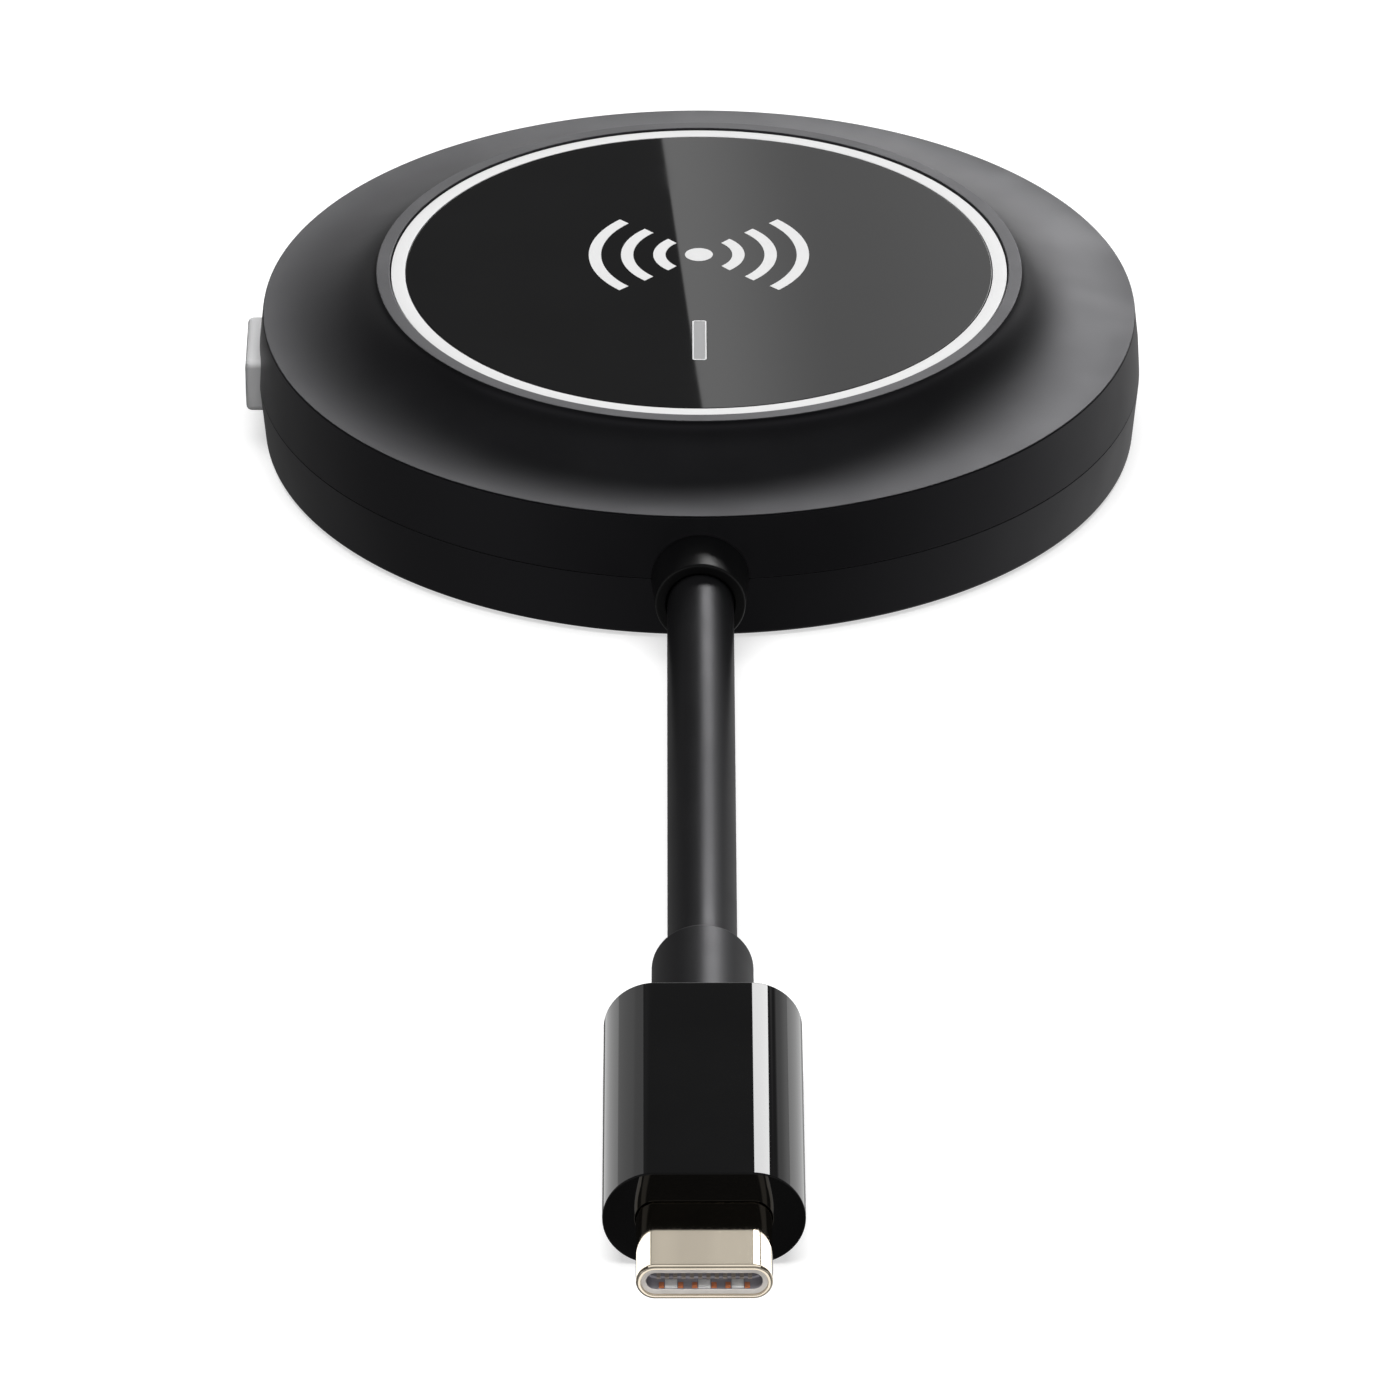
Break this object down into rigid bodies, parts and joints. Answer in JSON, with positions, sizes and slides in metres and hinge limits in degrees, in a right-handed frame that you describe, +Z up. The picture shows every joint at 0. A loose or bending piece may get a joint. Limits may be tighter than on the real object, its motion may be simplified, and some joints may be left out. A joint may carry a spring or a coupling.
{
  "type": "wireless streaming puck",
  "caption": "Round low puck that streams a screen wirelessly, with a gloss top panel in a white light ring, a side push button and a short captive cable ending in a reversible USB plug.",
  "frame": {"origin": "centre of the rubber foot's underside, on the surface that the puck stands on", "axes": "+Z up; -Y is the way the cable leaves the puck and the plug points; the side button is on -X"},
  "size_m": [0.0612, 0.1444, 0.0122],
  "materials": {
    "shell_plastic": "satin black moulded plastic with a very fine texture",
    "foot_rubber": "matte black rubber",
    "light_diffuser": "milky white light-diffusing plastic",
    "gloss_panel": "mirror-smooth black panel",
    "window_lens": "frosted pale grey lens",
    "inner_plastic": "plain black moulding",
    "button_plastic": "satin light grey plastic",
    "plated_steel": "tin plated sheet steel",
    "circuit_board": "green solder mask on glass fibre board",
    "chip_package": "moulded black package",
    "led_package": "white package with a pale lens",
    "gap_pad": "soft grey-blue gap pad",
    "spreader_aluminium": "plain milled aluminium",
    "connector_plastic": "ivory connector plastic",
    "lead_red": "insulated wire",
    "lead_green": "insulated wire",
    "lead_white": "insulated wire",
    "lead_black": "insulated wire",
    "cable_skin": "satin black cable sheath",
    "plug_gloss": "glossy black over-moulding",
    "plug_metal": "polished pale gold plated steel",
    "plug_liner": "grey liquid crystal polymer",
    "contact_gold": "gold plated spring contact",
    "screw_steel": "zinc plated steel",
    "capacitor_ceramic": "tan ceramic body"
  },
  "bodies": {
    "housing": {"upper_shell": "shell_plastic", "lower_shell": "shell_plastic", "foot_pad": "foot_rubber", "light_ring": "light_diffuser", "top_panel": "gloss_panel", "panel_carrier": "inner_plastic", "status_window": "window_lens", "switch_body": "plated_steel", "main_board": "circuit_board", "processor_chip": "chip_package", "memory_chip": "chip_package", "flash_chip": "chip_package", "wifi_module": "plated_steel", "power_chip": "chip_package", "usb_controller_chip": "chip_package", "crystal": "plated_steel", "status_led": "led_package", "inductor_1": "chip_package", "inductor_2": "chip_package", "shield_frame": "plated_steel", "shield_lid": "plated_steel", "thermal_pad": "gap_pad", "heat_spreader": "spreader_aluminium", "antenna_1": "plated_steel", "antenna_2": "plated_steel", "cable_header": "connector_plastic", "cable_connector": "connector_plastic", "cable_lead_1": "lead_red", "cable_lead_2": "lead_green", "cable_lead_3": "lead_white", "cable_lead_4": "lead_black", "cable_gland": "cable_skin", "cable_jacket": "cable_skin", "plug_collar": "cable_skin", "plug_housing": "plug_gloss", "plug_board": "circuit_board", "plug_chip": "chip_package", "usb_shell": "plug_metal", "usb_insulator": "plug_liner", "usb_contacts_upper": "contact_gold", "usb_contacts_lower": "contact_gold", "case_screw_1": "screw_steel", "capacitor_1": "capacitor_ceramic", "case_screw_2": "screw_steel", "capacitor_2": "capacitor_ceramic", "case_screw_3": "screw_steel", "capacitor_3": "capacitor_ceramic", "case_screw_4": "screw_steel", "capacitor_4": "capacitor_ceramic", "ring_led_1": "led_package", "ring_led_2": "led_package", "ring_led_3": "led_package", "ring_led_4": "led_package", "ring_led_5": "led_package", "ring_led_6": "led_package"},
    "button": {"side_button": "button_plastic", "switch_plunger": "inner_plastic"}
  },
  "joints": [
    {"name": "side_button_press", "type": "slide", "parent": "housing", "child": "button", "axis": [1, 0, 0], "range_m": [0, 0.0004], "stiffness_N_per_m": 400, "springref_m": -0.003}
  ]
}
